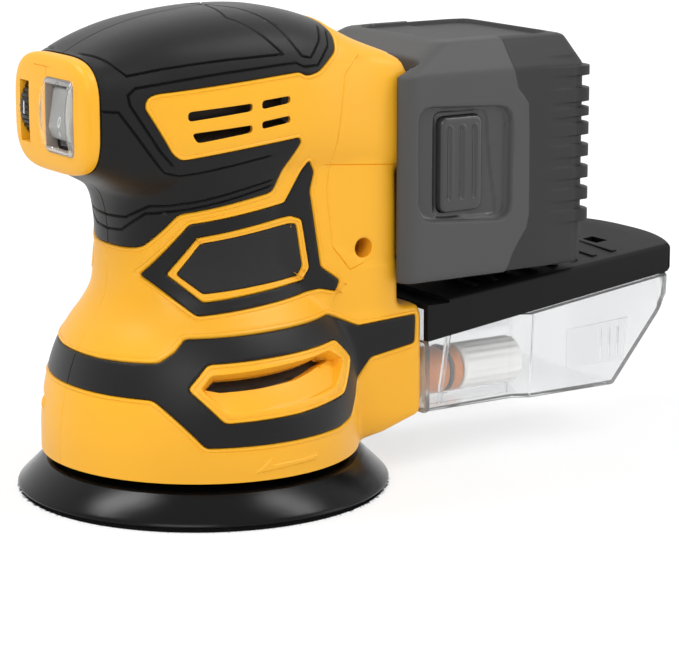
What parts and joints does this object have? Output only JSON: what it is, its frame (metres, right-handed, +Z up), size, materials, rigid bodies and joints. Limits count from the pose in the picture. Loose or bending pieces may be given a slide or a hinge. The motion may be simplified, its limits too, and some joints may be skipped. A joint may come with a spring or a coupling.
{
  "type": "cordless orbital sander",
  "caption": "Cordless random orbital sander: round pad, rubber-gripped housing with rocker switch and speed dial, slide-on battery and clear dust box with a lid.",
  "frame": {"origin": "on the motor axis at the sanding face of the pad", "axes": "+Z up along the motor axis, +X to the rear where the dust box is, +Y to the tool's right"},
  "size_m": [0.2436, 0.125, 0.161],
  "materials": {
    "yellow_housing": "satin",
    "rubber": "fine matt grain",
    "side_plate": "fine texture",
    "black_plastic": "satin",
    "pad": "semi-gloss",
    "dark_grey_plastic": "fine grain",
    "grey_plastic": "fine grain",
    "clear_cover": "clear",
    "clear_bin": "clear",
    "filter_cloth": "matt",
    "steel": "ground",
    "dark_steel": "blackened",
    "brass": "plain",
    "hook_cloth": "hooked",
    "cells": "sleeved"
  },
  "bodies": {
    "housing": {"left_shell": "yellow_housing", "right_shell": "yellow_housing", "left_grip": "rubber", "right_grip": "rubber", "left_band": "rubber", "right_band": "rubber", "left_frame": "rubber", "right_frame": "rubber", "left_plate": "side_plate", "right_plate": "side_plate", "housing_screw_1": "dark_steel", "housing_screw_2": "dark_steel", "housing_screw_3": "dark_steel", "housing_screw_4": "dark_steel", "housing_screw_5": "dark_steel", "housing_screw_6": "dark_steel", "front_panel": "yellow_housing", "switch_body": "black_plastic", "switch_cover": "clear_cover", "speed_control": "dark_grey_plastic", "motor_case": "dark_steel", "motor_lower_bearing": "steel", "motor_upper_bearing": "steel", "motor_mount": "dark_grey_plastic", "fan_shroud": "dark_grey_plastic", "skirt_seal": "rubber", "dust_port": "yellow_housing", "port_ring": "black_plastic", "terminal_block": "black_plastic", "terminal_blade_left": "brass", "terminal_blade_right": "brass"},
    "switch": {"switch_rocker": "black_plastic"},
    "dial": {"speed_dial": "black_plastic"},
    "rotor": {"motor_shaft": "steel", "motor_rotor": "dark_steel", "fan": "black_plastic", "counterweight": "dark_steel", "pad_bearing": "steel"},
    "pad": {"pad_spindle": "steel", "backing_pad": "pad", "hook_layer": "hook_cloth", "pad_screw_1": "steel", "pad_screw_2": "steel", "pad_screw_3": "steel", "pad_screw_4": "steel"},
    "dust_box": {"dust_bin": "clear_bin", "filter_sleeve": "filter_cloth"},
    "lid": {"dust_lid": "black_plastic"},
    "battery": {"battery_front_case": "grey_plastic", "battery_rear_case": "dark_grey_plastic", "cell_holder": "black_plastic", "battery_cell_1": "cells", "battery_cell_2": "cells", "battery_cell_3": "cells", "battery_cell_4": "cells", "battery_cell_5": "cells", "battery_contacts": "brass"},
    "button_left": {"battery_button_left": "dark_grey_plastic"},
    "button_right": {"battery_button_right": "dark_grey_plastic"}
  },
  "joints": [
    {"name": "rotor_spin", "type": "hinge", "parent": "housing", "child": "rotor", "pos_m": [0, 0, 0.05], "axis": [0, 0, 1], "continuous": true},
    {"name": "pad_spin", "type": "hinge", "parent": "rotor", "child": "pad", "pos_m": [0.0012, 0, 0.01], "axis": [0, 0, 1], "continuous": true},
    {"name": "switch_rock", "type": "hinge", "parent": "housing", "child": "switch", "pos_m": [-0.042, -0.0083, 0.1295], "axis": [0, 1, 0], "range_deg": [-13.75, 0]},
    {"name": "dial_turn", "type": "hinge", "parent": "housing", "child": "dial", "pos_m": [-0.0418, 0.0156, 0.1295], "axis": [0, 1, 0], "range_deg": [0, 270]},
    {"name": "dust_box_slide", "type": "slide", "parent": "housing", "child": "dust_box", "axis": [1, 0, 0], "range_m": [0, 0.045]},
    {"name": "lid_slide", "type": "slide", "parent": "dust_box", "child": "lid", "axis": [0.9921, 0, 0.1252], "range_m": [0, 0.05]},
    {"name": "battery_slide", "type": "slide", "parent": "housing", "child": "battery", "axis": [0, 0, 1], "range_m": [0, 0.07]},
    {"name": "battery_button_left", "type": "slide", "parent": "battery", "child": "button_left", "axis": [0, 1, 0], "range_m": [0, 0.0022], "stiffness_N_per_m": 400},
    {"name": "battery_button_right", "type": "slide", "parent": "battery", "child": "button_right", "axis": [0, -1, 0], "range_m": [0, 0.0022], "stiffness_N_per_m": 400}
  ]
}
